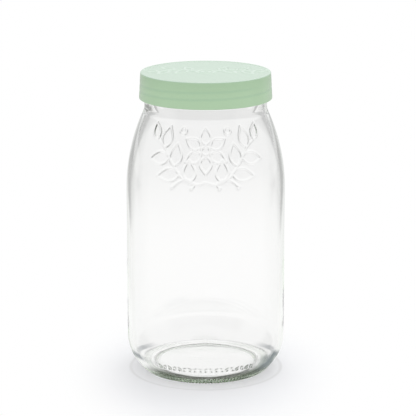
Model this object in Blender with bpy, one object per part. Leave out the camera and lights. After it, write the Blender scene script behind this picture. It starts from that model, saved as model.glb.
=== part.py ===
"""Tall clear-glass storage jar with a moulded screw lid and a ring seal.

Metres, +Z up. The origin is the centre of the base, on the plane that the jar stands on.
The glass is one turned body with a raised thread on its neck and short ribs round its heel.
The lid is one turned shell with the matching thread inside its skirt. Both threads follow the
same right-hand helix, so the lid climbs one pitch for each turn that it is unscrewed.
"""

import math

import bpy
import bmesh
from mathutils import Matrix

# Glass: overall sizes
BODY_RADIUS = 0.0700
GLASS_HEIGHT = 0.2641
WALL = 0.0037

# Glass: heel, bearing ring and raised base
HEEL_RADIUS = 0.0370
FOOT_RADIUS = 0.0519
FOOT_LIFT = 0.0016
RING_SET_BACK = 0.0013
RING_WIDTH = 0.0032
RING_SLOPE = 0.0034
PUSH_UP_HEIGHT = 0.0032
PUSH_UP_CROWN = 0.0010
FLOOR_THICKNESS = 0.0036
FLOOR_CROWN = 0.0008
FLOOR_FILLET = 0.0050

# Glass: ribs round the heel
RIB_PITCH = 0.0027
RIB_RADIUS = 0.0007
RIB_LENGTH = 0.0040
RIB_OVERHANG = 0.0030
RIB_LIFT = 0.0002

# Glass: shoulder, neck and rim
SHOULDER_RADIUS = 0.1700
NECK_HEIGHT = 0.0279
COLLAR_DROP = 0.0147
COLLAR_STEP = 0.0007
BORE_RADIUS = 0.0489
RIM_WALL = 0.0040
NECK_FILLET = 0.0120
RIM_FILLET = 0.0013

# Thread pair
THREAD_PITCH = 0.0060
THREAD_DEPTH = 0.0021
THREAD_FLANK = 0.0008
THREAD_SINK = 0.0008
GLASS_THREAD_CREST = 0.0016
GLASS_THREAD_DROP = 0.0035
GLASS_THREAD_LIFT = 0.0020
LID_THREAD_CREST = 0.0012
LID_THREAD_DROP = 0.0058
LID_THREAD_LIFT = 0.0056
LID_THREAD_START_DEG = 96.0
RUN_OUT_SHARE = 0.08
FLANK_GAP = 0.0003
CREST_GAP = 0.0008
SKIRT_GAP = 0.0003

# Lid
SKIRT_FLARE = 0.0013
LID_HEIGHT = 0.0231
LID_WALL = 0.0017
LID_TOP_THICKNESS = 0.0018
LID_RIM_FILLET = 0.0009
LID_EDGE_FILLET = 0.0007
LID_CORNER_FILLET = 0.0010
PLUG_WALL = 0.0016
PLUG_DEPTH = 0.0052
PLUG_GAP = 0.0006
PLUG_FILLET = 0.0005

# Seal
SEAL_THICKNESS = 0.0020
SEAL_BEAD = 0.0005
SEAL_GAP = 0.0003
SEAL_OVERHANG = 0.0016

# Facets
SEGMENTS = 60
FILLET_STEPS = 3
ARC_STEPS = 7
RIB_SIDES = 4
MERGE = 0.000001
SMOOTH_ANGLE_DEG = 32.0

# Glass: places worked out from the sizes above
thread_core_radius = BORE_RADIUS + RIM_WALL
glass_crest_radius = thread_core_radius + THREAD_DEPTH
neck_radius = thread_core_radius + COLLAR_STEP
heel_centre_radius = BODY_RADIUS - HEEL_RADIUS
heel_height = math.sqrt(HEEL_RADIUS ** 2 - (FOOT_RADIUS - heel_centre_radius) ** 2)
ring_outer_radius = FOOT_RADIUS - RING_SET_BACK
ring_inner_radius = ring_outer_radius - RING_WIDTH
push_up_radius = ring_inner_radius - RING_SLOPE
floor_top = PUSH_UP_HEIGHT + FLOOR_THICKNESS
shoulder_centre_radius = BODY_RADIUS - SHOULDER_RADIUS
shoulder_rise = math.sqrt(SHOULDER_RADIUS ** 2 - (neck_radius - shoulder_centre_radius) ** 2)
shoulder_start = GLASS_HEIGHT - NECK_HEIGHT - shoulder_rise
collar_top = GLASS_HEIGHT - COLLAR_DROP

# Lid and seal: places worked out from the glass that they fit
seal_top = GLASS_HEIGHT + SEAL_GAP + SEAL_THICKNESS
lid_ceiling = seal_top + SEAL_GAP
lid_top = lid_ceiling + LID_TOP_THICKNESS
lid_edge = lid_top - LID_HEIGHT
lid_top_radius = glass_crest_radius + SKIRT_GAP + LID_WALL
lid_edge_radius = lid_top_radius + SKIRT_FLARE
lid_crest_radius = thread_core_radius + CREST_GAP
plug_radius = BORE_RADIUS - PLUG_GAP

# Threads: lowest and highest points of their middle lines
glass_thread_low = collar_top + GLASS_THREAD_LIFT
glass_thread_high = GLASS_HEIGHT - GLASS_THREAD_DROP
lid_thread_low = lid_edge + LID_THREAD_LIFT
lid_thread_high = lid_ceiling - LID_THREAD_DROP


def clear_objects():
    """Take every object out of the open file."""
    for thing in list(bpy.data.objects):
        bpy.data.objects.remove(thing, do_unlink=True)


def arc(centre_r, centre_z, radius, start_deg, end_deg, steps):
    """Points along a circle in the (radius, height) plane, both ends included."""
    points = []
    for step in range(steps + 1):
        angle = math.radians(start_deg + (end_deg - start_deg) * step / steps)
        points.append((centre_r + radius * math.cos(angle), centre_z + radius * math.sin(angle)))
    return points


def fillet(before, corner, after, radius):
    """Round one corner of an outline with a circle that is tangent to both of its sides."""
    ax, az = before[0] - corner[0], before[1] - corner[1]
    bx, bz = after[0] - corner[0], after[1] - corner[1]
    a_length, b_length = math.hypot(ax, az), math.hypot(bx, bz)
    ax, az, bx, bz = ax / a_length, az / a_length, bx / b_length, bz / b_length
    half = math.acos(max(-1.0, min(1.0, ax * bx + az * bz))) / 2
    reach = min(radius / math.tan(half), a_length, b_length)
    radius = reach * math.tan(half)
    mid_x, mid_z = ax + bx, az + bz
    mid_length = math.hypot(mid_x, mid_z)
    centre_r = corner[0] + mid_x / mid_length * radius / math.sin(half)
    centre_z = corner[1] + mid_z / mid_length * radius / math.sin(half)
    start = math.atan2(corner[1] + az * reach - centre_z, corner[0] + ax * reach - centre_r)
    end = math.atan2(corner[1] + bz * reach - centre_z, corner[0] + bx * reach - centre_r)
    sweep = (end - start + math.pi) % (2 * math.pi) - math.pi
    start_deg = math.degrees(start)
    return arc(centre_r, centre_z, radius, start_deg, start_deg + math.degrees(sweep), FILLET_STEPS)


def heel_arc(radius, foot):
    """Arc of the heel, or of its inside, from the height of its foot up to the straight wall."""
    foot_deg = -math.degrees(math.asin((heel_height - foot) / radius))
    return arc(heel_centre_radius, heel_height, radius, foot_deg, 0, ARC_STEPS)


def shoulder_arc(radius, end_radius):
    """Arc of the shoulder, or of its inside, from the straight wall up to end_radius."""
    end_deg = math.degrees(math.acos((end_radius - shoulder_centre_radius) / radius))
    return arc(shoulder_centre_radius, shoulder_start, radius, 0, end_deg, ARC_STEPS)


def turned(name, outline, closed=False):
    """Spin an outline of (radius, height) points round the Z axis into a smooth closed mesh."""
    mesh = bpy.data.meshes.new(name)
    thing = bpy.data.objects.new(name, mesh)
    bpy.context.scene.collection.objects.link(thing)
    work = bmesh.new()
    verts = [work.verts.new((r, 0, z)) for r, z in outline]
    edges = [work.edges.new(pair) for pair in zip(verts, verts[1:])]
    if closed:
        edges.append(work.edges.new((verts[-1], verts[0])))
    bmesh.ops.spin(
        work, geom=verts + edges, cent=(0, 0, 0), axis=(0, 0, 1), angle=2 * math.pi,
        steps=SEGMENTS, use_merge=True)
    bmesh.ops.remove_doubles(work, verts=work.verts, dist=MERGE)
    bmesh.ops.recalc_face_normals(work, faces=work.faces)
    work.to_mesh(mesh)
    work.free()
    return thing


def thread_ridge(name, foot_radius, crest_radius, foot_width, crest_width, first_deg, low, high):
    """Right-hand helical ridge of trapezoid section, from the height low up to the height high.

    foot_radius is a function of height. At both ends the crest runs down into the wall that
    carries the ridge, so it has no end face in the open.
    """
    mesh = bpy.data.meshes.new(name)
    thing = bpy.data.objects.new(name, mesh)
    bpy.context.scene.collection.objects.link(thing)
    steps = round((high - low) / THREAD_PITCH * SEGMENTS)
    run_out = max(1, round(RUN_OUT_SHARE * SEGMENTS))
    work = bmesh.new()
    rows = []
    for step in range(steps + 1):
        angle = math.radians(first_deg) + 2 * math.pi * step / SEGMENTS
        z = low + THREAD_PITCH * step / SEGMENTS
        grown = min(run_out, step + 1 / 2, steps - step + 1 / 2) / run_out
        foot = foot_radius(z)
        crest = foot + (crest_radius - foot) * grown
        section = [
            (foot, z - foot_width / 2),
            (crest, z - crest_width / 2),
            (crest, z + crest_width / 2),
            (foot, z + foot_width / 2)]
        row = [work.verts.new((r * math.cos(angle), r * math.sin(angle), h)) for r, h in section]
        rows.append(row)
    for lower, upper in zip(rows, rows[1:]):
        for side in range(len(lower)):
            after = (side + 1) % len(lower)
            work.faces.new((lower[side], lower[after], upper[after], upper[side]))
    work.faces.new(rows[0])
    work.faces.new(rows[-1])
    bmesh.ops.recalc_face_normals(work, faces=work.faces)
    work.to_mesh(mesh)
    work.free()
    return thing


def heel_ribs(name):
    """Ring of short bars that lie along radii, half sunk where the heel meets the base."""
    mesh = bpy.data.meshes.new(name)
    thing = bpy.data.objects.new(name, mesh)
    bpy.context.scene.collection.objects.link(thing)
    middle = ring_outer_radius + RIB_OVERHANG - RIB_LENGTH / 2
    count = round(2 * math.pi * middle / RIB_PITCH)
    lay_down = Matrix.Rotation(math.pi / 2, 4, "Y")
    work = bmesh.new()
    for index in range(count):
        turn = Matrix.Rotation(2 * math.pi * (index + 1 / 2) / count, 4, "Z")
        place = Matrix.Translation((middle, 0, RIB_RADIUS + RIB_LIFT))
        bmesh.ops.create_cone(
            work, cap_ends=True, cap_tris=False, segments=RIB_SIDES, radius1=RIB_RADIUS,
            radius2=RIB_RADIUS, depth=RIB_LENGTH, matrix=turn @ place @ lay_down)
    work.to_mesh(mesh)
    work.free()
    return thing


def join_on(thing, addition):
    """Unite a construction body with the piece that carries it, and keep it out of the model."""
    addition.hide_render = True
    addition.display_type = "WIRE"
    union = thing.modifiers.new(addition.name, "BOOLEAN")
    union.operation = "UNION"
    union.solver = "EXACT"
    union.object = addition


def finish(thing, material):
    """Shade a round piece smooth with its true edges kept sharp, and give it its material."""
    thing.data.shade_smooth()
    thing.data.set_sharp_from_angle(angle=math.radians(SMOOTH_ANGLE_DEG))
    thing.data.materials.append(material)


def plain_material(name, colour, roughness, metallic):
    """Principled material with one colour."""
    material = bpy.data.materials.new(name)
    material.use_nodes = True
    shader = material.node_tree.nodes["Principled BSDF"]
    shader.inputs["Base Color"].default_value = (*colour, 1.0)
    shader.inputs["Roughness"].default_value = roughness
    shader.inputs["Metallic"].default_value = metallic
    return material


def glass_material():
    """Clear glass with a faint green cast."""
    material = plain_material("clear_glass", (0.93, 0.97, 0.94), 0.0, 0.0)
    shader = material.node_tree.nodes["Principled BSDF"]
    shader.inputs["Transmission Weight"].default_value = 1.0
    shader.inputs["IOR"].default_value = 1.51
    return material


def lid_material():
    """Satin mint-green moulded plastic."""
    return plain_material("mint_plastic", (0.45, 0.62, 0.43), 0.45, 0.0)


def seal_material():
    """Milky silicone."""
    return plain_material("milky_silicone", (0.80, 0.80, 0.77), 0.5, 0.0)


def jar_outline():
    """Outline of the glass: underside, heel, wall, shoulder and neck, over the rim and inside."""
    underside = [
        (0, PUSH_UP_HEIGHT),
        (push_up_radius, PUSH_UP_HEIGHT - PUSH_UP_CROWN),
        (ring_inner_radius, 0),
        (ring_outer_radius, 0)]
    heel = heel_arc(HEEL_RADIUS, FOOT_LIFT)
    shoulder = shoulder_arc(SHOULDER_RADIUS, neck_radius)
    collar_low = (neck_radius, collar_top - COLLAR_STEP)
    collar = (thread_core_radius, collar_top)
    neck = fillet(shoulder[-2], shoulder[-1], collar_low, NECK_FILLET)
    outer_rim = (thread_core_radius, GLASS_HEIGHT)
    inner_rim = (BORE_RADIUS, GLASS_HEIGHT)
    inner_shoulder = shoulder_arc(SHOULDER_RADIUS - WALL, BORE_RADIUS)
    throat = inner_shoulder[-1]
    rim = fillet(collar, outer_rim, inner_rim, RIM_FILLET)
    rim += fillet(outer_rim, inner_rim, throat, RIM_FILLET)
    bore = fillet(inner_rim, throat, inner_shoulder[-2], NECK_FILLET)
    inner_heel = heel_arc(HEEL_RADIUS - WALL, floor_top)
    floor_middle = (0, floor_top + FLOOR_CROWN)
    floor = fillet(inner_heel[1], inner_heel[0], floor_middle, FLOOR_FILLET)
    return (
        underside + heel + shoulder[:-1] + neck + [collar_low, collar] + rim + bore
        + inner_shoulder[-2::-1] + inner_heel[:0:-1] + floor + [floor_middle])


def ridge_width(crest_width, height):
    """Width of a thread's section at the foot of flanks that are height deep."""
    return crest_width + 2 * THREAD_FLANK * height / THREAD_DEPTH


def thread_step_up():
    """Height of the glass thread's middle above the lid thread's, with the flanks just apart."""
    overlap = THREAD_DEPTH - CREST_GAP
    half_widths = GLASS_THREAD_CREST / 2 + LID_THREAD_CREST / 2
    return half_widths + THREAD_FLANK * overlap / THREAD_DEPTH + FLANK_GAP


def glass_thread():
    """Thread round the neck. It starts where the helix above the lid's thread is low enough."""
    climb = glass_thread_low - lid_thread_low - thread_step_up()
    first_deg = LID_THREAD_START_DEG + 360 * climb / THREAD_PITCH
    foot_width = ridge_width(GLASS_THREAD_CREST, THREAD_DEPTH + THREAD_SINK)
    return thread_ridge(
        "glass_thread_form", lambda z: thread_core_radius - THREAD_SINK, glass_crest_radius,
        foot_width, GLASS_THREAD_CREST, first_deg, glass_thread_low, glass_thread_high)


def jar():
    """The glass, with its thread and its heel ribs."""
    thing = turned("jar", jar_outline())
    join_on(thing, glass_thread())
    join_on(thing, heel_ribs("heel_rib_form"))
    finish(thing, glass_material())
    return thing


def skirt_radius(z):
    """Inner radius of the lid's flared skirt at a height."""
    return lid_top_radius + SKIRT_FLARE * (lid_top - z) / LID_HEIGHT - LID_WALL


def lid_outline():
    """Outline of the lid: flat top, flared skirt, inside of the skirt, seal seat and plug ring."""
    top_corner = (lid_top_radius, lid_top)
    outer_edge = (lid_edge_radius, lid_edge)
    inner_edge = (lid_edge_radius - LID_WALL, lid_edge)
    seat_corner = (skirt_radius(lid_ceiling), lid_ceiling)
    plug_top = (plug_radius, lid_ceiling)
    plug_outer = (plug_radius, lid_ceiling - PLUG_DEPTH)
    plug_inner = (plug_radius - PLUG_WALL, lid_ceiling - PLUG_DEPTH)
    plug_foot = (plug_radius - PLUG_WALL, lid_ceiling)
    return (
        [(0, lid_top)]
        + fillet((0, lid_top), top_corner, outer_edge, LID_RIM_FILLET)
        + fillet(top_corner, outer_edge, inner_edge, LID_EDGE_FILLET)
        + fillet(outer_edge, inner_edge, seat_corner, LID_EDGE_FILLET)
        + fillet(inner_edge, seat_corner, plug_top, LID_CORNER_FILLET)
        + [plug_top]
        + fillet(plug_top, plug_outer, plug_inner, PLUG_FILLET)
        + fillet(plug_outer, plug_inner, plug_foot, PLUG_FILLET)
        + [plug_foot, (0, lid_ceiling)])


def lid_thread():
    """Thread inside the skirt, just below the glass thread that it pulls against."""
    foot_depth = skirt_radius(lid_edge) + THREAD_SINK - lid_crest_radius
    return thread_ridge(
        "lid_thread_form", lambda z: skirt_radius(z) + THREAD_SINK, lid_crest_radius,
        ridge_width(LID_THREAD_CREST, foot_depth), LID_THREAD_CREST, LID_THREAD_START_DEG,
        lid_thread_low, lid_thread_high)


def lid():
    """The lid, with its thread inside the skirt."""
    thing = turned("lid", lid_outline())
    join_on(thing, lid_thread())
    finish(thing, lid_material())
    return thing


def seal():
    """The ring seal: a flat ring with a raised bead that bears on the middle of the rim."""
    inner = plug_radius + SEAL_GAP
    outer = thread_core_radius + SEAL_OVERHANG
    bead_r = (thread_core_radius + BORE_RADIUS) / 2
    low = seal_top - SEAL_THICKNESS
    foot = low + SEAL_BEAD
    outline = [
        (inner, seal_top),
        (inner, foot),
        (bead_r - SEAL_BEAD * 2, foot),
        (bead_r - SEAL_BEAD / 2, low),
        (bead_r + SEAL_BEAD / 2, low),
        (bead_r + SEAL_BEAD * 2, foot),
        (outer, foot),
        (outer, seal_top)]
    thing = turned("seal", outline, closed=True)
    finish(thing, seal_material())
    return thing


def build():
    """Make the three pieces. The lid and the seal hang from an empty on the screw axis."""
    clear_objects()
    jar()
    axis = bpy.data.objects.new("screw_axis", None)
    bpy.context.scene.collection.objects.link(axis)
    for piece in (seal(), lid()):
        piece.parent = axis


build()
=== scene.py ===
"""Looks of the tall glass storage jar with its mint screw lid and ring seal.

Every piece is a surface turned round the Z axis and worked out with numpy: a row for each station
of its profile and a column for each bearing. Metres, +Z up. Bearings are degrees round the axis,
0 at the front (-Y) and growing towards +X.
"""

import math

import bpy
import numpy as np
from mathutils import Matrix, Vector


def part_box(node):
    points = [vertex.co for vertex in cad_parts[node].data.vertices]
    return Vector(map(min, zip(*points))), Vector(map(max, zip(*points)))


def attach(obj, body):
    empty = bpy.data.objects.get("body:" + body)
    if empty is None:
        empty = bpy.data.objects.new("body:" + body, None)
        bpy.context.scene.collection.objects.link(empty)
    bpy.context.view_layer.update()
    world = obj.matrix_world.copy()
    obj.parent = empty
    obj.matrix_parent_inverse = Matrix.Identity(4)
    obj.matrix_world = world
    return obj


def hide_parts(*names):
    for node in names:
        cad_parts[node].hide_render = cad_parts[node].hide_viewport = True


MM = 1000  # millimetres in a metre

# Overall places, read from the frame
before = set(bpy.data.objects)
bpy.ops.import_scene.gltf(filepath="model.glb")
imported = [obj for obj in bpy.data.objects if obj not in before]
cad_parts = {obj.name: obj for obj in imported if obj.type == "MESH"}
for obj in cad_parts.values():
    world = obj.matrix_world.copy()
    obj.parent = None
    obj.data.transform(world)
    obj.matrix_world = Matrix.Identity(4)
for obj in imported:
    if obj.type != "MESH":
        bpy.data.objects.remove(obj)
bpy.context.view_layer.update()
jar_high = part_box("jar")[1]
lid_low, lid_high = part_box("lid")
seal_low, seal_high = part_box("seal")

BODY_RADIUS = jar_high.x
GLASS_HEIGHT = jar_high.z
LID_EDGE = lid_low.z
LID_TOP = lid_high.z
LID_EDGE_RADIUS = lid_high.x
SEAL_LOW = seal_low.z
SEAL_TOP = seal_high.z
SEAL_OUTER = seal_high.x

# Glass
WALL = 0.0037
HEEL_RADIUS = 0.0370
FOOT_RADIUS = 0.0519
FOOT_LIFT = 0.0016
RING_SET_BACK = 0.0013
RING_WIDTH = 0.0032
RING_SLOPE = 0.0034
RING_FILLET = 0.0006
SLOPE_FILLET = 0.0024
PUSH_UP_HEIGHT = 0.0032
PUSH_UP_CROWN = 0.0010
FLOOR_THICKNESS = 0.0036
FLOOR_CROWN = 0.0008
FLOOR_FILLET = 0.0025
SHOULDER_RADIUS = 0.1700
NECK_HEIGHT = 0.0279
COLLAR_DROP = 0.0147
COLLAR_STEP = 0.0007
BORE_RADIUS = 0.0489
RIM_WALL = 0.0040
NECK_FILLET = 0.0120
THROAT_FILLET = 0.0350
RIM_FILLET = 0.0013
RIB_COUNT = 120
RIB_RISE = 0.0006
RIB_LIFT = 0.0002
RIB_START = 0.0012
RIB_END = 0.0016
TREAD_LENGTH = 0.0105
WORN_PLACE = 0.0092
WORN_LENGTH = 0.0012
WORN_GAIN = 2.4
WORN_CREST = (7 / 15, 0.8)
WAVE_RISE = 0.00012
WAVE_FADE_IN = (0.004, 0.014)
WAVE_FADE_OUT = (0.235, 0.215)
WAVES = ((0.5, 3, 1.7, 0.4), (0.3, 5, -2.9, 2.1), (0.2, 8, 4.3, 1.1))

# Threads
PITCH = 0.0060
THREAD_DEPTH = 0.0021
THREAD_FLANK = 0.0008
GLASS_CREST = 0.0016
GLASS_THREAD_LOW = 0.2514
GLASS_THREAD_HIGH = 0.2606
GLASS_THREAD_BEARING = 78.3
LID_CREST = 0.0012
LID_THREAD_LOW = 0.2510
LID_THREAD_HIGH = 0.2609
LID_THREAD_BEARING = -174.0
LID_CREST_GAP = 0.0008
RUN_OUT_DEG = 29.0

# Lid
SKIRT_FLARE = 0.0013
LID_WALL = 0.0017
LID_TOP_THICKNESS = 0.0018
LID_RIM_FILLET = 0.0009
LID_EDGE_FILLET = 0.0007
LID_CORNER_FILLET = 0.0010
PLUG_WALL = 0.0016
PLUG_DEPTH = 0.0052
PLUG_GAP = 0.0006
PLUG_FILLET = 0.0005
SINK_DEPTH = 0.00020
SINK_CREST = 0.0002
SINK_WIDTH = 0.0034

# Seal
SEAL_BEAD = 0.0005
SEAL_BEAD_FLANK = 0.0008
SEAL_BEAD_REACH = 1.6
SEAL_GAP = 0.0003
SEAL_FILLET = 0.0004

# Raised ornament of the shoulder
SPRIG_RISE = 0.00070
SPRIG_HALF_WIDTH = 0.00125
SPRIG_FLANK = 0.00070
SPRIG_CENTRE = 0.2065
SPRIG_LOW = 0.1795
SPRIG_HIGH = 0.2325

# Low ornament of the lid
LID_SPRIG_RISE = 0.00025
LID_SPRIG_HALF_WIDTH = 0.0015
LID_SPRIG_FLANK = 0.0006
LID_LAND_WIDTH = 0.0024

# Border of small leaves on the heel
BORDER_RISE = 0.00050
BORDER_HALF_WIDTH = 0.00062
BORDER_FLANK = 0.00040
BORDER_CENTRE = 0.0168
BORDER_LOW = 0.0128
BORDER_HIGH = 0.0208
BORDER_COUNT = 19
BORDER_PITCH_MM = 4.7
BORDER_LEAN_MM = 1.1
BORDER_LEAF_MM = 2.0

# Columns, in degrees
WIDE_STEP = 2.0
FINE_STEP = 0.4
RIB_STEP = 0.5
LID_STEP = 0.75
SEAL_STEP = 1.5
FRONT_DEG = 52.0
SAME_BEARING = 1e-6

# Rows, in metres along the profile
TREAD_ROW = 0.0006
BORDER_ROW = 0.0005
SPRIG_ROW = 0.00055
NECK_ROW = 0.0012
LOW_HEEL_ROW = 0.0015
INSIDE_HEEL_ROW = 0.0018
HIGH_HEEL_ROW = 0.0020
SHOULDER_ROW = 0.0030
INSIDE_ROW = 0.0045

# Gaps between runs, and the radii of the rows next to the axis
NECK_GAP = 0.0004
BORE_GAP = 0.0010
FLOOR_GAP = 0.0003
POLE_RADIUS = 0.0040
LID_POLE_RADIUS = 0.0015

# Stations of the long arcs, and those of them that a run or the side of a fillet takes
HEEL_STATIONS = 90
TREAD_STATIONS = 26
SHOULDER_STATIONS = 300
NECK_SIDE_STATIONS = 12
INSIDE_STATIONS = 200
THROAT_SIDE_STATIONS = 24
INSIDE_HEEL_STATIONS = 60
THREAD_STATIONS = 34
SKIRT_STATIONS = 46
LID_TOP_STATIONS = 76

# Looks of the glass, the mint plastic and the silicone
GLASS_TINT = (1.0, 0.994, 1.0, 1.0)
GLASS_DEPTH = (0.57, 0.79, 0.48, 1.0)
GLASS_DENSITY = 7.0
GLASS_IOR = 1.51
HAZE_NOISE = (0.45, 0.95)
HAZE_ROUGHNESS = 0.02
FROST_ROUGHNESS = 0.9
MINT_DARK = (0.425, 0.618, 0.385, 1.0)
MINT_PALE = (0.448, 0.642, 0.408, 1.0)
# Painted shade: the mint that the skirt takes just under the rim
MINT_PAINTED_SHADE_UNDER_RIM = (0.384, 0.566, 0.352, 1.0)
# Painted sheen: a greyer, bluer mint on the lid's top
MINT_PAINTED_SHEEN_TOP = (0.415, 0.575, 0.430, 1.0)
# Painted shade in the sinks over the thread
MINT_PAINTED_SHADE_SUNK = (0.365, 0.560, 0.362, 1.0)
# Painted highlight on the raised ornament of the top
MINT_PAINTED_HIGHLIGHT_RAISED = (0.55, 0.70, 0.57, 1.0)
# Where the painted shade under the rim starts above the lid's edge, and its share
PAINTED_SHADE_UNDER_RIM_START = 0.008
PAINTED_SHADE_UNDER_RIM_SHARE = 0.7
# Shares of the painted shade in the sinks and of the painted highlight on the raised ornament
PAINTED_SHADE_SUNK_SHARE = 0.6
PAINTED_HIGHLIGHT_RAISED_SHARE = 0.8
SILICONE_DARK = (0.76, 0.76, 0.73, 1.0)
SILICONE_PALE = (0.84, 0.84, 0.81, 1.0)

# Paper: its tones, the thin line of shade round the foot and the soft shadow, in metres
FLOOR_HALF_WIDTH = 6.0
PAPER_DARK = (0.890, 0.900, 0.940, 1.0)
PAPER_PALE = (0.915, 0.925, 0.960, 1.0)
LINE_GREY = (0.50, 0.50, 0.50, 1.0)
LINE_SHARE = 0.42
LINE_RING = (0.0650, 0.0673, 0.0680, 0.0697)
LINE_SHIFT = (0.0, 0.0015, 0.0)
SHADOW_REACH = (0.088, 0.200)
SHADOW_SQUEEZE = 2.4
SHADOW_SHIFT = 0.015
EVEN_LEAST = 0.43

# The floor as gloss and glass show it: sides, dimming, a painted shadow near the jar and rings of
# painted shade round the foot, in metres. Ways are parts of the unit direction from the axis.
GLOSS_ASIDE = (0.13, 0.26)
GLOSS_BEHIND = (-0.1, 0.1)
GLASS_ASIDE = (0.30, 0.42, 1.10, 1.40)
GLASS_BEHIND = (0.30, 0.50)
FLOOR_FAR = (0.40, 0.90)
FAR_DIM = 0.17
FLOOR_END = (1.20, 1.40)
END_DIM = 0.22
# Painted shadow of the jar close to it, in the floor that gloss and glass show
NEAR_SHADE = (0.09, 0.19)
NEAR_PAINTED_SHADOW_DIM = 0.12
FLOOR_GREY = (0.70, 0.70, 0.70, 1.0)
RING_WOBBLE = 0.003
# Rings of painted shade round the foot, a painted contact shadow that gloss and glass show
BACK_RING = (0.0590, 0.0605, 0.0640, 0.0655)
BACK_RING_PAINTED_SHADE = (0.45, 0.46, 0.46, 1.0)
BACK_SHARE = 0.7
BACK_WAYS = (0.1, 0.5)
SIDE_RING = (0.0690, 0.0730, 0.0790, 0.0850)
SIDE_RING_PAINTED_SHADE = (0.33, 0.35, 0.37, 1.0)
SIDE_SHARE = 0.95
SIDE_WAYS = (0.6, 0.9)
RIGHT_RING = (0.0480, 0.0540, 0.0860, 0.0980)
RIGHT_RING_PAINTED_SHADE = (0.27, 0.30, 0.31, 1.0)
RIGHT_WAYS = (0.4, 0.9)
RIGHT_AHEAD = (-0.25, 0.0)
FRONT_RING = (0.0453, 0.0463, 0.0600, 0.0680)
FRONT_RING_PAINTED_SHADE = (0.02, 0.03, 0.01, 1.0)
FRONT_WAYS = (0.2, 0.8)

# Studio round the jar: its colours, and the parts of the direction where they change
SURROUND = (0.48, 0.48, 0.48, 1.0)
LEFT_SIDE = (0.32, 0.32, 0.31, 1.0)
SIDE_CHANGE = (-0.3, 0.3)
PLAIN_LIGHT = (0.89, 0.89, 0.89, 1.0)
PAPER_WHITE = (1.0, 1.0, 1.0, 1.0)
GLOSS_WHITE = (0.97, 0.985, 1.0, 1.0)
GLOSS_SIDES = (0.64, 0.65, 0.66, 1.0)
WHITE_WAYS = (0.80, 0.95)
ABOVE_WAYS = (0.35, 0.80)
STRIP_WAYS = (0.02, 0.07, 0.16, 0.26)
LEFT_WAYS = (0.0, 0.3)
OPEN_WAYS = (-0.2, 0.5)

# Lamp and view
LAMP_WATTS = 8.0
LAMP_SIZE = 1.6
LAMP_PLACE = (0.45, 0.65, 1.50)
VIEW_DISTANCE = 1.75
VIEW_ELEVATION = 13.84
VIEW_HEIGHT = 0.146
VIEW_YAW = 0.00119
VIEW_END = 60.0
LENS_MM = 171.0
SENSOR_MM = 36.0
GLASS_BOUNCES = 48
GLOSS_BOUNCES = 32

# Places that follow from the sizes above
thread_core = BORE_RADIUS + RIM_WALL
neck_radius = thread_core + COLLAR_STEP
heel_centre = BODY_RADIUS - HEEL_RADIUS
heel_height = math.sqrt(HEEL_RADIUS ** 2 - (FOOT_RADIUS - heel_centre) ** 2)
ring_outer = FOOT_RADIUS - RING_SET_BACK
ring_inner = ring_outer - RING_WIDTH
push_up_radius = ring_inner - RING_SLOPE
floor_top = PUSH_UP_HEIGHT + FLOOR_THICKNESS
shoulder_centre = BODY_RADIUS - SHOULDER_RADIUS
shoulder_rise = math.sqrt(SHOULDER_RADIUS ** 2 - (neck_radius - shoulder_centre) ** 2)
shoulder_start = GLASS_HEIGHT - NECK_HEIGHT - shoulder_rise
collar_top = GLASS_HEIGHT - COLLAR_DROP
lid_ceiling = LID_TOP - LID_TOP_THICKNESS
lid_top_radius = LID_EDGE_RADIUS - SKIRT_FLARE
plug_radius = BORE_RADIUS - PLUG_GAP

WIDE_COLUMNS = np.arange(-180, 180, WIDE_STEP)
RIB_COLUMNS = np.arange(-180, 180, RIB_STEP)
LID_COLUMNS = np.arange(-180, 180, LID_STEP)
FRONT_COLUMNS = np.concatenate((
    np.arange(-180, -FRONT_DEG, WIDE_STEP),
    np.arange(-FRONT_DEG, FRONT_DEG, FINE_STEP),
    np.arange(FRONT_DEG, 180, WIDE_STEP)))


def arc(centre, radius, start_deg, end_deg, count):
    """count points on a circle, centre + radius (cos a, sin a), with a even from start to end."""
    angle = np.radians(np.linspace(start_deg, end_deg, count))
    return np.column_stack((centre[0] + radius * np.cos(angle), centre[1] + radius * np.sin(angle)))


def line(start, end, count):
    """count points evenly along a straight line, both ends included."""
    share = np.linspace(0, 1, count)[:, None]
    return (1 - share) * np.array(start) + share * np.array(end)


def fillet(before, corner, after, radius, count):
    """Arc of the given radius that is tangent to both sides of a corner."""
    corner = np.array(corner, float)
    to_before, to_after = np.array(before) - corner, np.array(after) - corner
    room = min(np.linalg.norm(to_before), np.linalg.norm(to_after))
    to_before /= np.linalg.norm(to_before)
    to_after /= np.linalg.norm(to_after)
    half = math.acos(float(np.clip(to_before @ to_after, -1, 1))) / 2
    reach = min(radius / math.tan(half), room)
    radius = reach * math.tan(half)
    middle = to_before + to_after
    centre = corner + middle / np.linalg.norm(middle) * radius / math.sin(half)
    start = corner + to_before * reach - centre
    end = corner + to_after * reach - centre
    start_deg = math.degrees(math.atan2(start[1], start[0]))
    sweep = math.degrees(math.atan2(end[1], end[0])) - start_deg
    return arc(centre, radius, start_deg, start_deg + (sweep + 180) % 360 - 180, count)


def chain(*runs):
    """One run of stations from several, without the points that they share."""
    whole = np.concatenate(runs)
    step = np.linalg.norm(np.diff(whole, axis=0), axis=1)
    return whole[np.concatenate(([True], step > 1e-7))]


def smooth(x):
    """Smooth step of x: 0 below 0, 3x^2 - 2x^3 between, 1 above 1."""
    x = np.clip(x, 0, 1)
    return x * x * (3 - 2 * x)


def ramp(x, start, end):
    """Smooth step of x that is 0 at start and 1 at end, either way round."""
    return smooth((x - start) / (end - start))


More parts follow.
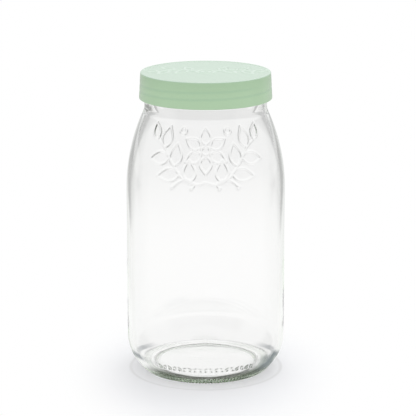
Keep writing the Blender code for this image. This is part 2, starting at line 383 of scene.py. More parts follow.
def outward(profile):
    """Unit normals of a profile: its tangent (dr, dz) turned to (dz, -dr)."""
    tangent = np.gradient(profile, axis=0)
    tangent /= np.linalg.norm(tangent, axis=1)[:, None]
    return np.column_stack((tangent[:, 1], -tangent[:, 0]))


def along(profile):
    """Length along a profile up to each of its stations."""
    steps = np.linalg.norm(np.diff(profile, axis=0), axis=1)
    return np.concatenate(([0], np.cumsum(steps)))


def turn(profile, columns, rise=0.0, normals=None):
    """Grid of points: each station moved rise along its normal and turned to each bearing.

    x = r sin b, y = -r cos b, with (r, z) the moved station and b the bearing.
    """
    if normals is None:
        normals = outward(profile)
    rise = np.broadcast_to(rise, (len(profile), len(columns)))
    r = profile[:, :1] + rise * normals[:, :1]
    z = profile[:, 1:] + rise * normals[:, 1:]
    b = np.radians(columns)[None, :]
    return np.stack((r * np.sin(b), -r * np.cos(b), z), axis=-1)


class Shell:
    """A turned surface put together from bands with their own columns."""

    def __init__(self):
        self.points = []
        self.faces = []
        self.marks = []
        self.first = None
        self.last = None
        self.last_columns = None

    def add(self, points, mark):
        start = sum(len(p) for p in self.points)
        flat = points.reshape(-1, 3)
        self.points.append(flat)
        self.marks.append(np.broadcast_to(mark, points.shape[:-1]).ravel())
        return start + np.arange(len(flat)).reshape(points.shape[:-1])

    def band(self, grid, columns, mark=0.0):
        """Rows of equal columns, joined to the row before them."""
        ids = self.add(grid, mark)
        if self.last is None:
            self.first = ids[0]
        else:
            self.join(self.last, self.last_columns, ids[0], columns)
        low, high = ids[:-1], ids[1:]
        self.quads(low, high)
        self.last, self.last_columns = ids[-1], columns

    def quads(self, low, high):
        after_low, after_high = np.roll(low, -1, axis=-1), np.roll(high, -1, axis=-1)
        self.faces.append(np.stack((low, after_low, after_high, high), -1).reshape(-1, 4))

    def join(self, low, low_columns, high, high_columns):
        """Faces between two rows, where the columns of one are among those of the other.

        Each cell of the row with few columns is a fan: its own edge, and the edges of the other
        row, those of the first half to the cell's start and those of the second to its end.
        """
        if len(low) == len(high):
            self.quads(low[None], high[None])
            return
        flip = len(low) > len(high)
        few, many = (high, low) if flip else (low, high)
        few_columns = high_columns if flip else low_columns
        many_columns = low_columns if flip else high_columns
        start = np.searchsorted(many_columns, few_columns - SAME_BEARING)
        edge = np.arange(len(many))
        cell = np.searchsorted(start, edge, side="right") - 1
        size = np.diff(np.append(start, len(many)))
        turned_over = edge - start[cell] >= (size[cell] + 1) // 2
        apex = few[(cell + turned_over) % len(few)]
        fans = np.stack((apex, many[(edge + 1) % len(many)], many[edge]), -1)
        middle = many[(start + (size + 1) // 2) % len(many)]
        caps = np.stack((few, np.roll(few, -1), middle), -1)
        faces = np.concatenate((fans, caps))
        self.faces.append(faces[:, ::-1] if flip else faces)

    def pole(self, height, row, first):
        """Fan of faces between a point on the axis and the shell's first or last row."""
        point = self.add(np.array([[0.0, 0.0, height]]), 0.0)[0]
        around = (np.roll(row, -1), row) if first else (row, np.roll(row, -1))
        self.faces.append(np.stack((*around, np.full(len(row), point)), -1))

    def make(self, name, material):
        """The mesh object, smooth all over, with its marks as the attribute relief."""
        mesh = bpy.data.meshes.new(name)
        faces = [face for block in self.faces for face in block.tolist()]
        mesh.from_pydata(np.concatenate(self.points).tolist(), [], faces)
        marks = mesh.attributes.new("relief", "FLOAT", "POINT")
        marks.data.foreach_set("value", np.concatenate(self.marks).astype(np.float32))
        mesh.shade_smooth()
        mesh.materials.append(material)
        mesh.validate()
        piece = bpy.data.objects.new(name, mesh)
        bpy.context.scene.collection.objects.link(piece)
        return piece


def stroke_share(u, v, strokes, half_width, flank):
    """1 within half_width - flank of a stroke, falling to 0 at half_width: smooth((w - d) / flank).

    d is the distance from (u, v) to the nearest segment of any stroke.
    """
    nearest = np.full(u.shape, np.inf)
    for stroke in strokes:
        a, b = stroke[:-1], stroke[1:]
        low, high = stroke.min(0) - half_width, stroke.max(0) + half_width
        near = (u > low[0]) & (u < high[0]) & (v > low[1]) & (v < high[1])
        if not near.any():
            continue
        pu, pv = u[near][:, None] - a[:, 0], v[near][:, None] - a[:, 1]
        du, dv = (b - a)[:, 0], (b - a)[:, 1]
        share = np.clip((pu * du + pv * dv) / (du * du + dv * dv), 0, 1)
        d = np.hypot(pu - share * du, pv - share * dv).min(1)
        nearest[near] = np.minimum(nearest[near], d)
    return smooth((half_width - nearest) / flank)


def curve(points, count=24):
    """Smooth stroke through a few points (Catmull-Rom)."""
    p = np.array(points, float)
    p = np.vstack((2 * p[0] - p[1], p, 2 * p[-1] - p[-2]))
    t = np.linspace(0, 1, count, endpoint=False)[:, None]
    runs = []
    for a, b, c, d in zip(p, p[1:], p[2:], p[3:]):
        runs.append(0.5 * (2 * b + (c - a) * t + (2 * a - 5 * b + 4 * c - d) * t ** 2
                           + (3 * b - a - 3 * c + d) * t ** 3))
    runs.append(p[-2][None])
    return np.concatenate(runs)


def leaf(base, tip, belly):
    """The two sides of a pointed leaf, from its base to its tip.

    Each stands belly sin(pi t^0.8) of the leaf's length off its middle line, t from 0 to 1.
    """
    base, tip = np.array(base, float), np.array(tip, float)
    way = tip - base
    side = np.array((-way[1], way[0]))
    t = np.linspace(0, 1, 16)[:, None]
    bulge = belly * np.sin(math.pi * t ** 0.8)
    return [base + way * t + side * bulge, base + way * t - side * bulge]


def loop(centre, radius, count=20):
    """A closed round stroke."""
    return arc(centre, radius, 0, 360, count)


def mirrored(strokes):
    """The strokes and their mirror images across u = 0."""
    return strokes + [stroke * np.array((-1.0, 1.0)) for stroke in strokes]


def shoulder_sprig():
    """Strokes of the raised ornament in millimetres: two leafy branches under a flower."""
    strokes = [curve([(0, -22), (9, -24), (20, -18), (29, -6), (38, 6), (47, 12)])]
    for base, tip in (
            ((9, -23.5), (28, -28)), ((13, -22), (14, -3)), ((22, -15), (42, -19)),
            ((27, -9), (25, 11)), ((32, -2), (52, -5)), ((38, 6), (35, 25)), ((47, 12), (53, 26))):
        strokes += leaf(base, tip, 0.27)
    strokes += [loop((21, 21.5), 3.0)]
    for angle in np.radians((90, 30, -30, -90)):
        way = np.array((math.cos(angle), math.sin(angle)))
        strokes += leaf((0, 5) + 5 * way, (0, 5) + 20 * way, 0.32)
    return mirrored(strokes) + [loop((0, 5), 3.6)]


def lid_sprig():
    """Strokes of the low ornament on the lid in millimetres, centred on the lid."""
    strokes = [curve([(7, 0), (15, 6), (25, 7), (35, 1), (45, -1)])]
    for base, tip in (
            ((12, 5), (16, 17)), ((15, 6), (24, -6)), ((25, 7), (35, 16)),
            ((30, 4), (37, -9)), ((38, 0), (50, 8))):
        strokes += leaf(base, tip, 0.24)
    strokes = mirrored(strokes) + [loop((0, 0), 3.0), loop((0, 0), 7.0, 32)]
    return [stroke * np.array((1.1, 1.35)) for stroke in strokes]


def heel_border():
    """Strokes of the heel's border in millimetres: small leaves that lean to each side in turn."""
    strokes = []
    for place in range(BORDER_COUNT):
        u = (place - (BORDER_COUNT - 1) / 2) * BORDER_PITCH_MM
        lean = BORDER_LEAN_MM if place % 2 else -BORDER_LEAN_MM
        strokes += leaf((u - lean, -BORDER_LEAF_MM), (u + lean, BORDER_LEAF_MM), 0.26)
    return strokes


def helix_share(columns, heights, low, high, bearing, crest, flank):
    """Share of a thread's depth at each height and bearing, by its trapezoid section.

    The middle line is z = low + PITCH * a / 360, with a the angle from the thread's start, and the
    section falls from 1 at half the crest to 0 a flank further out. It runs out at both ends.
    """
    length = 360 * (high - low) / PITCH
    share = np.zeros((len(heights), len(columns)))
    for lap in range(int(length // 360) + 2):
        a = (columns - bearing) % 360 + 360 * lap
        middle = low + PITCH * a / 360
        inside = np.minimum(a, length - a) / RUN_OUT_DEG
        off = np.abs(heights[:, None] - middle[None, :])
        section = smooth((crest / 2 + flank - off) / flank)
        share = np.maximum(share, section * smooth(inside)[None, :])
    return share


def wave(columns, heights):
    """Slow unevenness of pressed glass between -1 and 1: the sum of a sin(n b + k z + p) in WAVES.

    b is the bearing and z the height in radii of the body.
    """
    b = np.radians(columns)[None, :]
    z = heights[:, None] / BODY_RADIUS
    return sum(a * np.sin(n * b + k * z + p) for a, n, k, p in WAVES)


def sized(profile, step):
    """The same run with stations about one step apart."""
    s = along(profile)
    count = max(2, int(round(s[-1] / step)) + 1)
    at = np.linspace(0, s[-1], count)
    return np.column_stack((np.interp(at, s, profile[:, 0]), np.interp(at, s, profile[:, 1])))


def between(run, low, high):
    """The stations of a run whose height lies between two heights."""
    return run[(run[:, 1] > low) & (run[:, 1] < high)]


def heel_run(radius, foot, count):
    """Heel arc, or its inside, from the height of its foot up to the straight wall."""
    foot_deg = -math.degrees(math.asin((heel_height - foot) / radius))
    return arc((heel_centre, heel_height), radius, foot_deg, 0, count)


def shoulder_run(radius, end_radius, count):
    """Shoulder arc, or its inside, from the straight wall up to end_radius."""
    end_deg = math.degrees(math.acos((end_radius - shoulder_centre) / radius))
    return arc((shoulder_centre, shoulder_start), radius, 0, end_deg, count)


def make_base(shell):
    """The underside: its crown, then the frosted slope and inner edge of the bearing ring.

    The crown is z = PUSH_UP_HEIGHT - PUSH_UP_CROWN (r / push_up_radius)^2.
    """
    ring_in, ring_out = (ring_inner, 0.0), (ring_outer, 0.0)
    r = np.linspace(POLE_RADIUS, push_up_radius, 12)
    crown = np.column_stack((r, PUSH_UP_HEIGHT - PUSH_UP_CROWN * (r / push_up_radius) ** 2))
    shell.band(turn(crown, WIDE_COLUMNS), WIDE_COLUMNS)
    shell.pole(PUSH_UP_HEIGHT, shell.first, True)
    slope = fillet(crown[-1], ring_in, ring_out, SLOPE_FILLET, 8)
    shell.band(turn(slope, WIDE_COLUMNS), WIDE_COLUMNS, 1.0)
    return ring_in, ring_out


def make_tread(shell, ring_in, ring_out, heel):
    """The outer edge of the bearing ring and the ribs of the heel, which stop above the floor.

    The rise along the normal (n_r, n_z) is RIB_RISE (1 + cos(RIB_COUNT b)) / 2, and where n_z < 0
    at most (z - RIB_LIFT) / -n_z, so that no rib reaches below RIB_LIFT. The tops of the ribs are
    worn, and marked so, along a short stretch at WORN_PLACE.
    """
    foot = (FOOT_RADIUS, FOOT_LIFT)
    edge = fillet(ring_in, ring_out, foot, RING_FILLET, 4)
    tread = sized(chain(edge, heel[:TREAD_STATIONS]), TREAD_ROW)
    normals = outward(tread)
    s = along(tread)
    room = (tread[:, 1] - RIB_LIFT) / np.maximum(-normals[:, 1], 1e-3)
    height = ramp(s, 0, RIB_START) * ramp(s, TREAD_LENGTH, TREAD_LENGTH - RIB_END) * RIB_RISE
    height = np.clip(height, 0, np.maximum(room, 0))[:, None]
    rib = 0.5 + 0.5 * np.cos(np.radians(RIB_COLUMNS * RIB_COUNT))
    worn = smooth(WORN_GAIN - WORN_GAIN * np.abs(s - WORN_PLACE) / WORN_LENGTH)[:, None]
    frosted = ramp(s, RING_FILLET, 0)[:, None]
    shell.band(
        turn(tread, RIB_COLUMNS, height * rib, normals), RIB_COLUMNS,
        np.maximum(worn * ramp(rib, *WORN_CREST), frosted))


def carved(shell, face, centre, strokes, rise, half_width, flank):
    """A run of the outside that carries raised strokes, drawn in millimetres round its centre.

    A point's place in the drawing is (b r, s): its bearing times the radius at the centre's height,
    and its length along the run from there.
    """
    height = along(face)
    middle = np.interp(centre, face[:, 1], height)
    radius = np.interp(centre, face[:, 1], face[:, 0])
    u, v = np.meshgrid(np.radians(FRONT_COLUMNS) * radius, height - middle)
    share = stroke_share(u * MM, v * MM, strokes, half_width * MM, flank * MM)
    shell.band(turn(face, FRONT_COLUMNS, rise * share), FRONT_COLUMNS)


def make_inside(shell, rim, outer_rim, inner_rim):
    """The rim's top, the bore, and the inside down to the middle of the floor."""
    inner = shoulder_run(SHOULDER_RADIUS - WALL, BORE_RADIUS, INSIDE_STATIONS)
    throat = inner[-1]
    bore_rim = fillet(outer_rim, inner_rim, throat, RIM_FILLET, 5)
    bore = fillet(inner_rim, throat, inner[-THROAT_SIDE_STATIONS], THROAT_FILLET, 20)
    shell.band(turn(chain(rim, bore_rim, bore), WIDE_COLUMNS), WIDE_COLUMNS)
    inside_heel = heel_run(HEEL_RADIUS - WALL, floor_top, INSIDE_HEEL_STATIONS)
    middle = (0.0, floor_top + FLOOR_CROWN)
    floor = fillet(inside_heel[1], inside_heel[0], middle, FLOOR_FILLET, 9)
    down = between(inner[::-1], 0, bore[-1][1] - BORE_GAP)
    wall = chain(
        sized(down, INSIDE_ROW), line(inner[0], inside_heel[-1], 9)[1:],
        sized(inside_heel[:1:-1], INSIDE_HEEL_ROW)[1:])
    wall = between(wall, floor[0][1] + FLOOR_GAP, GLASS_HEIGHT)
    wall = chain(wall, floor, line(floor[-1], middle, 8)[1:-1])
    heights = wall[:, 1]
    fade = ramp(heights, *WAVE_FADE_IN) * ramp(heights, *WAVE_FADE_OUT)
    rise = WAVE_RISE * wave(WIDE_COLUMNS, heights) * fade[:, None]
    shell.band(turn(wall, WIDE_COLUMNS, rise), WIDE_COLUMNS)
    shell.pole(middle[1], shell.last, False)


def make_jar(material):
    """The glass: underside, ribbed foot, heel, wall, shoulder, neck, thread, rim and inside."""
    shell = Shell()
    ring_in, ring_out = make_base(shell)
    heel = heel_run(HEEL_RADIUS, FOOT_LIFT, HEEL_STATIONS)
    make_tread(shell, ring_in, ring_out, heel)
    low_heel = between(heel[TREAD_STATIONS + 1:], 0, BORDER_LOW)
    shell.band(turn(sized(low_heel, LOW_HEEL_ROW), WIDE_COLUMNS), WIDE_COLUMNS)
    carved(
        shell, sized(between(heel, BORDER_LOW, BORDER_HIGH), BORDER_ROW), BORDER_CENTRE,
        heel_border(), BORDER_RISE, BORDER_HALF_WIDTH, BORDER_FLANK)

    shoulder = shoulder_run(SHOULDER_RADIUS, neck_radius, SHOULDER_STATIONS)
    body = chain(
        sized(between(heel, BORDER_HIGH, heel_height), HIGH_HEEL_ROW),
        line(heel[-1], shoulder[0], 9), sized(between(shoulder, 0, SPRIG_LOW), SHOULDER_ROW))
    shell.band(turn(body, WIDE_COLUMNS), WIDE_COLUMNS)
    carved(
        shell, sized(between(shoulder, SPRIG_LOW, SPRIG_HIGH), SPRIG_ROW), SPRIG_CENTRE,
        shoulder_sprig(), SPRIG_RISE, SPRIG_HALF_WIDTH, SPRIG_FLANK)

    collar_low = (neck_radius, collar_top - COLLAR_STEP)
    collar = (thread_core, collar_top)
    outer_rim, inner_rim = (thread_core, GLASS_HEIGHT), (BORE_RADIUS, GLASS_HEIGHT)
    neck = fillet(shoulder[-NECK_SIDE_STATIONS], shoulder[-1], collar_low, NECK_FILLET, 14)
    upper = between(shoulder, SPRIG_HIGH, neck[0][1] - NECK_GAP)
    neck_up = chain(
        sized(upper, NECK_ROW), neck, line(neck[-1], collar_low, 3), line(collar_low, collar, 3))
    shell.band(turn(neck_up, WIDE_COLUMNS), WIDE_COLUMNS)
    rim = fillet(collar, outer_rim, inner_rim, RIM_FILLET, 5)
    core = line(collar, rim[0], THREAD_STATIONS)[1:-1]
    share = helix_share(
        WIDE_COLUMNS, core[:, 1], GLASS_THREAD_LOW, GLASS_THREAD_HIGH, GLASS_THREAD_BEARING,
        GLASS_CREST, THREAD_FLANK)
    shell.band(turn(core, WIDE_COLUMNS, THREAD_DEPTH * share), WIDE_COLUMNS)
    make_inside(shell, rim, outer_rim, inner_rim)
    return shell.make("glass_jar", material)


def skirt_inside(z):
    """Inner radius of the flared skirt at a height."""
    return lid_top_radius + SKIRT_FLARE * (LID_TOP - z) / (LID_TOP - LID_EDGE) - LID_WALL


def make_lid(material):
    """The lid: ceiling, plug ring, seal seat, threaded skirt, edge, outside and top.

    The outside sinks by SINK_DEPTH over the thread. The top lies LID_SPRIG_RISE low inside the land
    at its rim, and its ornament stands up to the land's height.
    """
    columns = LID_COLUMNS
    shell = Shell()
    outer_edge, inner_edge = (LID_EDGE_RADIUS, LID_EDGE), (LID_EDGE_RADIUS - LID_WALL, LID_EDGE)
    seat_corner = (skirt_inside(lid_ceiling), lid_ceiling)
    plug_top = (plug_radius, lid_ceiling)
    plug_outer = (plug_radius, lid_ceiling - PLUG_DEPTH)
    plug_inner = (plug_radius - PLUG_WALL, lid_ceiling - PLUG_DEPTH)
    plug_foot = (plug_radius - PLUG_WALL, lid_ceiling)
    top_corner = (lid_top_radius, LID_TOP)
    middle = (POLE_RADIUS, lid_ceiling)
    ceiling = chain(
        line(middle, plug_foot, 8), fillet(plug_foot, plug_inner, plug_outer, PLUG_FILLET, 4),
        fillet(plug_inner, plug_outer, plug_top, PLUG_FILLET, 4), line(plug_outer, plug_top, 3)[1:],
        fillet(plug_top, seat_corner, inner_edge, LID_CORNER_FILLET, 5))
    shell.band(turn(ceiling, columns), columns)
    shell.pole(lid_ceiling, shell.first, True)

    edge_in = fillet(seat_corner, inner_edge, outer_edge, LID_EDGE_FILLET, 5)
    inside = line(ceiling[-1], edge_in[0], SKIRT_STATIONS)[1:-1]
    share = helix_share(
        columns, inside[:, 1], LID_THREAD_LOW, LID_THREAD_HIGH, LID_THREAD_BEARING,
        LID_CREST, THREAD_FLANK)
    depth = skirt_inside(inside[:, 1]) - (thread_core + LID_CREST_GAP)
    shell.band(turn(inside, columns, share * depth[:, None]), columns)

    edge_out = fillet(inner_edge, outer_edge, top_corner, LID_EDGE_FILLET, 6)
    rim = fillet(outer_edge, top_corner, (0, LID_TOP), LID_RIM_FILLET, 8)
    shell.band(turn(chain(edge_in, edge_out), columns), columns)
    outside = line(edge_out[-1], rim[0], SKIRT_STATIONS)[1:-1]
    sink = helix_share(
        columns, outside[:, 1], LID_THREAD_LOW, LID_THREAD_HIGH, LID_THREAD_BEARING,
        SINK_CREST, SINK_WIDTH / 2)
    shell.band(turn(outside, columns, -SINK_DEPTH * sink), columns, -sink)
    shell.band(turn(rim, columns), columns)

    flat = line(rim[-1], (LID_POLE_RADIUS, LID_TOP), LID_TOP_STATIONS)[1:]
    b = np.radians(columns)[None, :]
    x, y = flat[:, :1] * np.sin(b), -flat[:, :1] * np.cos(b)
    sprig = stroke_share(
        x * MM, y * MM, lid_sprig(), LID_SPRIG_HALF_WIDTH * MM, LID_SPRIG_FLANK * MM)
    lowered = flat - np.array((0, LID_SPRIG_RISE))
    land = smooth((flat[:, :1] - rim[-1][0] + LID_LAND_WIDTH) / (LID_LAND_WIDTH / 2))
    shell.band(turn(lowered, columns, LID_SPRIG_RISE * np.maximum(sprig, land)), columns, sprig)
    shell.pole(LID_TOP - LID_SPRIG_RISE, shell.last, False)
    return shell.make("screw_lid", material)


def make_seal(material):
    """The ring seal: a flat ring with rounded edges and a low bead on its underside."""
    columns = np.arange(-180, 180, SEAL_STEP)
    inner = plug_radius + SEAL_GAP
    bead = BORE_RADIUS + RIM_WALL / 2
    foot = SEAL_LOW + SEAL_BEAD
    corners = [(inner, SEAL_TOP), (inner, foot), (SEAL_OUTER, foot), (SEAL_OUTER, SEAL_TOP)]
    under_r = np.linspace(inner + SEAL_FILLET, SEAL_OUTER - SEAL_FILLET, 15)[1:-1]
    drop = SEAL_BEAD * smooth(SEAL_BEAD_REACH - np.abs(under_r - bead) / SEAL_BEAD_FLANK)
    under = np.column_stack((under_r, foot - drop))
    a, b, c, d = corners
    ring = np.concatenate((
        fillet(d, a, b, SEAL_FILLET, 4), fillet(a, b, c, SEAL_FILLET, 4), under,
        fillet(b, c, d, SEAL_FILLET, 4), fillet(c, d, a, SEAL_FILLET, 4)))
    shell = Shell()
    tangent = np.roll(ring, -1, axis=0) - np.roll(ring, 1, axis=0)
    tangent /= np.linalg.norm(tangent, axis=1)[:, None]
    grid = turn(ring, columns, 0.0, np.column_stack((tangent[:, 1], -tangent[:, 0])))
    ids = shell.add(grid, 0.0)
    shell.quads(ids, np.roll(ids, -1, axis=0))
    return shell.make("ring_seal", material)


class Value:
    """One output of a shader node. Arithmetic on it adds Math nodes."""

    def __init__(self, finish, socket):
        self.finish = finish
        self.socket = socket

    def math(self, operation, *operands):
        inputs = dict(enumerate(operands or (self,)))
        return self.finish.add("ShaderNodeMath", {"operation": operation}, inputs)

    def __add__(self, other):
        return self.math("ADD", self, other)

    def __radd__(self, other):
        return self.math("ADD", other, self)

    def __sub__(self, other):
        return self.math("SUBTRACT", self, other)

    def __rsub__(self, other):
        return self.math("SUBTRACT", other, self)

    def __mul__(self, other):
        return self.math("MULTIPLY", self, other)

    def __rmul__(self, other):
        return self.math("MULTIPLY", other, self)

    def __truediv__(self, other):
        return self.math("DIVIDE", self, other)

    def __rtruediv__(self, other):
        return self.math("DIVIDE", other, self)

    def greater(self, other):
        """The greater of two values."""
        return self.math("MAXIMUM", self, other)

    def clamp(self):
        return self.finish.add(
            "ShaderNodeMath", {"operation": "ADD", "use_clamp": True}, {0: self, 1: 0.0})

    def smooth_between(self, low, high):
        return self.finish.add(
            "ShaderNodeMapRange", {"interpolation_type": "SMOOTHSTEP"},
            {"Value": self, "From Min": low, "From Max": high})

    def within(self, start, top, fall, end):
        """0 before start, 1 from top to fall, 0 after end: the difference of two smooth steps."""
        return self.smooth_between(start, top) - self.smooth_between(fall, end)


class Finish:
    """Nodes of one material or world, all made by one method."""

    def __init__(self, owner):
        owner.use_nodes = True
        self.tree = owner.node_tree

    def add(self, kind, settings=None, inputs=None, output=0):
        """A node of a kind, its settings first, then the values or links of its inputs."""
        node = self.tree.nodes.new(kind)
        for name, value in (settings or {}).items():
            setattr(node, name, value)
        self.fill(node, inputs or {})
        return Value(self, node.outputs[output])

    def fill(self, node, inputs):
        for name, value in inputs.items():
            if isinstance(value, Value):
                self.tree.links.new(value.socket, node.inputs[name])
            else:
                node.inputs[name].default_value = value

    def place(self):
        """Object coordinates."""
        return self.add("ShaderNodeTexCoord", output="Object")

    def axis(self, place, name):
        """The X, Y or Z of a place or a direction."""
        return self.add("ShaderNodeSeparateXYZ", {}, {"Vector": place}, name)

    def length(self, place):
        """The distance of a place from the middle."""
        return self.add("ShaderNodeVectorMath", {"operation": "LENGTH"}, {0: place}, "Value")

    def marks(self):
        """The marks that the shells give their points."""
        return self.add("ShaderNodeAttribute", {"attribute_name": "relief"}, {}, "Fac")

    def ray(self, kind):
        """1 for rays of a kind, as Light Path tells them apart."""
        return self.add("ShaderNodeLightPath", output=kind)

    def noise(self, place, scale, detail):
        return self.add(
            "ShaderNodeTexNoise", {},
            {"Vector": place, "Scale": scale, "Detail": detail, "Roughness": 0.5})

    def mix(self, factor, a, b):
        """Mix of two colours."""
        return self.add("ShaderNodeMix", {"data_type": "RGBA"}, {0: factor, 6: a, 7: b}, 2)

    def blend(self, factor, a, b):
        """Blend of two shaders."""
        return self.add("ShaderNodeMixShader", {}, {0: factor, 1: a, 2: b}, "Shader")

    def bump(self, height, strength, distance):
        return self.add(
            "ShaderNodeBump", {}, {"Height": height, "Strength": strength, "Distance": distance})


def new_material(name):
    """A material with its Finish and its Principled shader."""
    material = bpy.data.materials.new(name)
    finish = Finish(material)
    return material, finish, material.node_tree.nodes["Principled BSDF"]


def glass_finish():
    """Clear glass with a green depth and a slow ripple, frosted where its marks say so."""
    material, finish, shader = new_material("clear_glass")
    place = finish.place()
    ripple = finish.noise(place, 38.0, 1.0)
    haze = finish.noise(place, 60.0, 4.0).smooth_between(*HAZE_NOISE)
    finish.fill(shader, {
        "Base Color": GLASS_TINT,
        "IOR": GLASS_IOR,
        "Transmission Weight": 1.0,
        "Roughness": haze * HAZE_ROUGHNESS + finish.marks() * FROST_ROUGHNESS,
        "Normal": finish.bump(ripple, 0.05, 0.001)})
    depth = finish.add(
        "ShaderNodeVolumeAbsorption", {}, {"Color": GLASS_DEPTH, "Density": GLASS_DENSITY},
        "Volume")
    finish.fill(material.node_tree.nodes["Material Output"], {"Volume": depth})
    return material


def lid_finish():
    """Satin moulded plastic, mint green: a painted highlight where the ornament stands up, painted
    shade in the sinks.

    Painted shade darkens the skirt just under the rim, a painted sheen gives the top a greyer,
    bluer mint, and a thin gloss lies over all of it.
    """
    material, finish, shader = new_material("mint_plastic")
    place = finish.place()
    height = finish.axis(place, "Z")
    cloud = finish.noise(place, 22.0, 3.0)
    grain = finish.noise(place, 1400.0, 2.0)
    marks = finish.marks()
    # Painted shade under the rim: the skirt darkens towards its top
    under = height.smooth_between(LID_EDGE + PAINTED_SHADE_UNDER_RIM_START, LID_TOP - LID_RIM_FILLET)
    # Painted sheen on the top: a greyer, bluer mint
    painted_sheen_on_top = height.smooth_between(LID_TOP - LID_RIM_FILLET, LID_TOP - LID_SPRIG_RISE)
    base = finish.mix(cloud, MINT_DARK, MINT_PALE)
    base = finish.mix(under * PAINTED_SHADE_UNDER_RIM_SHARE, base, MINT_PAINTED_SHADE_UNDER_RIM)
    base = finish.mix(painted_sheen_on_top, base, MINT_PAINTED_SHEEN_TOP)
    # Painted shade in the sinks
    base = finish.mix((marks * -PAINTED_SHADE_SUNK_SHARE).clamp(), base, MINT_PAINTED_SHADE_SUNK)
    finish.fill(shader, {
        # Painted highlight where the ornament stands up
        "Base Color": finish.mix((marks * PAINTED_HIGHLIGHT_RAISED_SHARE).clamp(), base, MINT_PAINTED_HIGHLIGHT_RAISED),
        "Roughness": 0.36 + 0.08 * cloud,
        "Normal": finish.bump(grain, 0.10, 0.0002),
        "IOR": 1.49,
        "Coat Weight": 0.8,
        "Coat Roughness": 0.22})
    return material


def seal_finish():
    """Milky silicone, matt, with a fine cast grain."""
    material, finish, shader = new_material("milky_silicone")
    place = finish.place()
    cloud = finish.noise(place, 90.0, 3.0)
    grain = finish.noise(place, 1800.0, 2.0)
    finish.fill(shader, {
        "Base Color": finish.mix(cloud, SILICONE_DARK, SILICONE_PALE),
        "Roughness": 0.48 + 0.12 * grain,
        "Normal": finish.bump(grain, 0.15, 0.0002),
        "IOR": 1.41})
    return material


def line_share(finish, place):
    """Share of the thin line of shade on the paper, a ring round the jar's foot."""
    shifted = finish.add(
        "ShaderNodeVectorMath", {"operation": "ADD"}, {0: place, 1: LINE_SHIFT}, "Vector")
    return finish.length(shifted).within(*LINE_RING)


def even_share(x, y):
    """Share of the paper's own light, which hides the shadow away from the jar.

    It rises from EVEN_LEAST to 1 with sqrt(SHADOW_SQUEEZE x^2 + (y + SHADOW_SHIFT)^2).
    """
    back = y + SHADOW_SHIFT
    reach = (x * x * SHADOW_SQUEEZE + back * back).math("SQRT")
    return (reach.smooth_between(*SHADOW_REACH) * (1.0 - EVEN_LEAST) + EVEN_LEAST).clamp()


def shown_sheet(finish, place, x, y):
    """Colour of the floor in gloss and in glass.

    Gloss shows white in the middle and grey at both sides behind the jar, glass only a grey patch
    at each side far behind it. The sheet dims in two steps behind the jar, and a painted shadow of
    the jar dims it a little close to it. Rings of painted shade, a painted contact shadow, lie
    round
    the foot, each on its own side: back, both sides, right and front.
    """
    far = finish.length(place)
    aside = x.math("ABSOLUTE")
    gloss_side = aside.smooth_between(*GLOSS_ASIDE) * y.smooth_between(*GLOSS_BEHIND)
    glass_side = aside.within(*GLASS_ASIDE) * y.smooth_between(*GLASS_BEHIND)
    sheet = finish.mix(
        finish.ray("Is Transmission Ray"), finish.mix(gloss_side, PAPER_WHITE, FLOOR_GREY),
        finish.mix(glass_side, PAPER_WHITE, SURROUND))
    away = y.smooth_between(*FLOOR_FAR) * FAR_DIM + y.smooth_between(*FLOOR_END) * END_DIM
    # A painted shadow of the jar dims the sheet close to it
    dim = away + (1.0 - far.smooth_between(*NEAR_SHADE)) * NEAR_PAINTED_SHADOW_DIM
    sheet = finish.mix(dim, sheet, SURROUND)
    ahead, right = y / far * -1.0, x / far
    at_side = right.math("ABSOLUTE").smooth_between(*SIDE_WAYS)
    at_right = right.smooth_between(*RIGHT_WAYS) * ahead.smooth_between(*RIGHT_AHEAD)
    wobbly = far + (finish.noise(place, 60.0, 3.0) - 0.5) * RING_WOBBLE
    # Rings of painted shade: a painted contact shadow round the foot, on each side
    for ring, ring_shade, share in (
            (BACK_RING, BACK_RING_PAINTED_SHADE, (ahead * -1.0).smooth_between(*BACK_WAYS) * BACK_SHARE),
            (SIDE_RING, SIDE_RING_PAINTED_SHADE, at_side * SIDE_SHARE),
            (RIGHT_RING, RIGHT_RING_PAINTED_SHADE, at_right),
            (FRONT_RING, FRONT_RING_PAINTED_SHADE, ahead.smooth_between(*FRONT_WAYS))):
        sheet = finish.mix((wobbly.within(*ring) * share).clamp(), sheet, ring_shade)
    return sheet


def floor_finish():
    """White paper that the jar stands on.

    The view shows the paper in the studio's light and partly by a light of its own, so that the
    jar's shadow stays soft. Gloss and glass show shown_sheet, and diffuse rays the plain paper.
    """
    material = bpy.data.materials.new("white_paper")
    finish = Finish(material)
    nodes = material.node_tree.nodes
    place = finish.place()
    x, y = finish.axis(place, "X"), finish.axis(place, "Y")
    tooth = finish.noise(place, 900.0, 2.0)
    tone = finish.noise(place, 9.0, 3.0)
    paper_tone = finish.mix(tone, PAPER_DARK, PAPER_PALE)
    shade = line_share(finish, place) * LINE_SHARE
    finish.fill(nodes["Principled BSDF"], {
        "Base Color": finish.mix(shade, paper_tone, LINE_GREY),
        "Roughness": 0.9,
        "Normal": finish.bump(tooth, 0.05, 0.0002)})
    paper = Value(finish, nodes["Principled BSDF"].outputs["BSDF"])
    white = finish.add("ShaderNodeEmission", {}, {"Color": PAPER_WHITE}, "Emission")
    seen = finish.blend(even_share(x, y), paper, white)
    sheet = shown_sheet(finish, place, x, y)
    shown = finish.add("ShaderNodeEmission", {}, {"Color": sheet}, "Emission")
    through = (finish.ray("Is Glossy Ray") + finish.ray("Is Transmission Ray")).clamp()
    through = through * (1.0 - finish.ray("Is Diffuse Ray"))
    lit = finish.blend(finish.ray("Is Camera Ray"), paper, seen)
    finish.fill(nodes["Material Output"], {"Surface": finish.blend(through, lit, shown)})
    return material


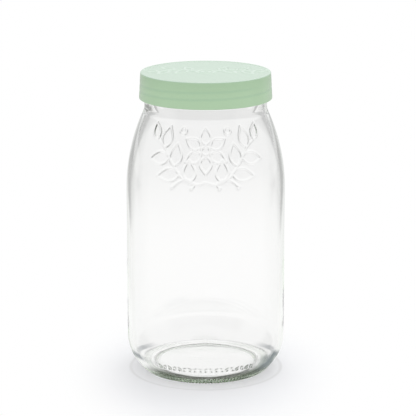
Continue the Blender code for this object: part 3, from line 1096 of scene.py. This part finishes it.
def make_floor(material):
    """The sweep that the jar stands on: a large flat sheet."""
    half = FLOOR_HALF_WIDTH
    corners = [(-half, -half, 0), (half, -half, 0), (half, half, 0), (-half, half, 0)]
    mesh = bpy.data.meshes.new("paper_sweep")
    mesh.from_pydata(corners, [], [(0, 1, 2, 3)])
    mesh.materials.append(material)
    sweep = bpy.data.objects.new("paper_sweep", mesh)
    bpy.context.scene.collection.objects.link(sweep)


def make_world():
    """The studio: white to the view, a plain level that lights, other looks in gloss and glass.

    With b the bearing from the back, glass shows white overhead, behind and beside the jar, its
    share the greatest of smooth(z), smooth(cos b) and smooth(|sin b|), and grey between, darker on
    the left. A dim strip of wall lies above the horizon at the left, but for the ways beside the
    jar. Gloss shows white in front, behind and overhead and pale grey at the sides.
    """
    world = bpy.data.worlds.new("studio")
    bpy.context.scene.world = world
    finish = Finish(world)
    way = finish.add("ShaderNodeTexCoord", output="Generated")
    x, y, z = (finish.axis(way, name) for name in "XYZ")
    level = (x * x + y * y).math("SQRT")
    above = z.smooth_between(*ABOVE_WAYS)
    behind = (y / level).smooth_between(*WHITE_WAYS)
    beside = (x / level).math("ABSOLUTE").smooth_between(*WHITE_WAYS)
    sides = finish.mix(x.smooth_between(*SIDE_CHANGE), LEFT_SIDE, SURROUND)
    strip = z.within(*STRIP_WAYS).clamp() * (x * -1.0).smooth_between(*LEFT_WAYS)
    shown = finish.mix(above.greater(behind).greater(beside), sides, PAPER_WHITE)
    shown = finish.mix(strip * (1.0 - beside), shown, sides)
    front = (y / level * -1.0).smooth_between(*OPEN_WAYS)
    gloss = finish.mix(front.greater(above).greater(behind), GLOSS_SIDES, GLOSS_WHITE)
    colour = finish.mix(finish.ray("Is Glossy Ray"), PLAIN_LIGHT, gloss)
    colour = finish.mix(finish.ray("Is Transmission Ray"), colour, shown)
    finish.fill(world.node_tree.nodes["Background"], {
        "Color": finish.mix(finish.ray("Is Camera Ray"), colour, PAPER_WHITE),
        "Strength": 1.0})


def make_lamps():
    """One broad soft lamp above and behind the jar, off to the right and tilted forward."""
    lamp = bpy.data.lights.new("overhead", "AREA")
    lamp.shape = "DISK"
    lamp.size = LAMP_SIZE
    lamp.energy = LAMP_WATTS
    holder = bpy.data.objects.new("overhead", lamp)
    holder.location = LAMP_PLACE
    holder.rotation_euler = (-math.atan2(LAMP_PLACE[1], LAMP_PLACE[2]), 0.0, 0.0)
    bpy.context.scene.collection.objects.link(holder)


def make_camera():
    """The photograph's view, from a little above the jar's middle."""
    camera = bpy.data.cameras.new("view")
    camera.lens = LENS_MM
    camera.sensor_width = SENSOR_MM
    camera.clip_end = VIEW_END
    holder = bpy.data.objects.new("view", camera)
    tilt = math.radians(VIEW_ELEVATION)
    holder.location = (
        0.0, -VIEW_DISTANCE * math.cos(tilt), VIEW_HEIGHT + VIEW_DISTANCE * math.sin(tilt))
    holder.rotation_euler = (math.pi / 2 - tilt, 0.0, -VIEW_YAW)
    bpy.context.scene.collection.objects.link(holder)
    bpy.context.scene.camera = holder


def dress():
    """Make the pieces, set each on its body in place of its plain solid, and light them."""
    for piece, body, node, slot in (
            (make_jar(glass_finish()), "glass_body", "jar", "glass"),
            (make_lid(lid_finish()), "lid_body", "lid", "lid_plastic"),
            (make_seal(seal_finish()), "seal_carrier", "seal", "silicone")):
        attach(piece, body)
        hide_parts(node)
    make_floor(floor_finish())
    make_world()
    make_lamps()
    make_camera()
    scene = bpy.context.scene
    scene.view_settings.view_transform = "Standard"
    scene.cycles.max_bounces = GLASS_BOUNCES
    scene.cycles.glossy_bounces = GLOSS_BOUNCES
    scene.cycles.transmission_bounces = GLASS_BOUNCES


dress()
